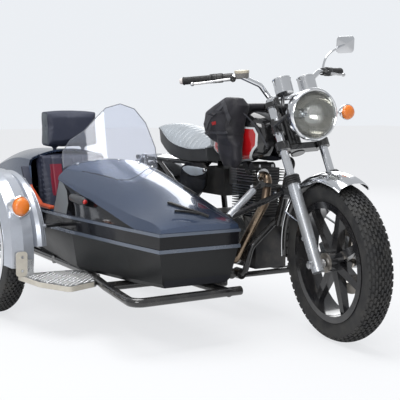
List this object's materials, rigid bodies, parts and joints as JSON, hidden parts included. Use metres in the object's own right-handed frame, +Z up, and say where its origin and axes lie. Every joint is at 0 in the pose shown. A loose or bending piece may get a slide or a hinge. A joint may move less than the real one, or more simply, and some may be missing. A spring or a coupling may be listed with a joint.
{
  "type": "motorcycle with sidecar",
  "caption": "Single-cylinder road motorcycle with a boat-shaped one-seat sidecar on its right, cast wheels, windscreen and open engine.",
  "frame": {"origin": "centre of the bounding box at ground level", "axes": "+X forward, +Y to the left of the bike, +Z up; the sidecar is at -Y"},
  "size_m": [2.4185, 1.488, 1.2489],
  "materials": {
    "amber": "amber lens",
    "bag_cloth": "black nylon cloth",
    "belt_grey": "grey moulding",
    "black_paint": "gloss black paint",
    "black_plastic": "black plastic",
    "cast_wheel_black": "gloss black cast wheel",
    "chrome": "bright chrome",
    "cowl_blue": "dark metallic blue grey paint",
    "engine_alloy": "bare cast aluminium",
    "engine_black": "satin black engine paint",
    "fork_alloy": "silver grey paint",
    "guard_silver": "silver paint",
    "interior_navy": "dark navy vinyl",
    "lamp_glass": "clear fluted glass",
    "screen_clear": "clear acrylic",
    "seat_vinyl": "silver grey vinyl",
    "steel_brown": "heat tinted steel",
    "step_alloy": "checker plate",
    "trim_red": "orange red trim",
    "tub_black": "satin black paint",
    "tyre_rubber": "dull black tyre rubber"
  },
  "bodies": {
    "outfit": {"belt_mouldings": "belt_grey", "bike_seat": "seat_vinyl", "carburettor_and_airbox": "black_plastic", "cylinder_head": "engine_alloy", "drive_chain": "engine_alloy", "engine_crankcase": "engine_black", "engine_cylinder": "engine_alloy", "exhaust": "steel_brown", "fuel_tank": "black_paint", "gunwale_trim": "trim_red", "main_frame": "black_paint", "rear_mudguard": "chrome", "rear_shocks": "chrome", "side_covers": "black_paint", "sidecar_backrest": "interior_navy", "sidecar_chassis": "black_paint", "sidecar_cowl": "cowl_blue", "sidecar_lamps": "amber", "sidecar_mudguard": "guard_silver", "sidecar_seat": "interior_navy", "sidecar_step": "step_alloy", "sidecar_struts": "fork_alloy", "sidecar_tail": "cowl_blue", "sidecar_tub": "tub_black", "sidecar_wheel_arm": "black_paint", "swingarm": "black_paint", "tail_lamp": "black_plastic", "tank_bag": "bag_cloth", "windscreen": "screen_clear"},
    "fork": {"fork_sliders": "fork_alloy", "fork_stanchions": "chrome", "fork_yokes": "black_paint", "front_mudguard": "chrome", "headlamp_shell": "chrome", "headlamp_glass": "lamp_glass", "instruments": "chrome", "handlebar": "chrome", "handlebar_controls": "black_plastic", "front_indicator": "amber"},
    "front_wheel_unit": {"front_tyre": "tyre_rubber", "front_wheel": "cast_wheel_black"},
    "rear_wheel_unit": {"rear_tyre": "tyre_rubber", "rear_wheel": "cast_wheel_black"},
    "sidecar_wheel_unit": {"sidecar_tyre": "tyre_rubber", "sidecar_wheel": "chrome"}
  },
  "joints": [
    {"name": "steering", "type": "hinge", "parent": "outfit", "child": "fork", "pos_m": [0.6271, 0.331, 0.70961], "axis": [-0.4617, 0, 0.887], "range_deg": [-29, 46]},
    {"name": "front_wheel_spin", "type": "hinge", "parent": "fork", "child": "front_wheel_unit", "pos_m": [0.88596, 0.32306, 0.32472], "axis": [0.1342, 0.9885, 0.0698], "continuous": true},
    {"name": "rear_wheel_spin", "type": "hinge", "parent": "outfit", "child": "rear_wheel_unit", "pos_m": [-0.5135, 0.331, 0.32], "axis": [0, 1, 0], "continuous": true},
    {"name": "sidecar_wheel_spin", "type": "hinge", "parent": "outfit", "child": "sidecar_wheel_unit", "pos_m": [-0.3135, -0.654, 0.296], "axis": [0, 1, 0], "continuous": true}
  ]
}
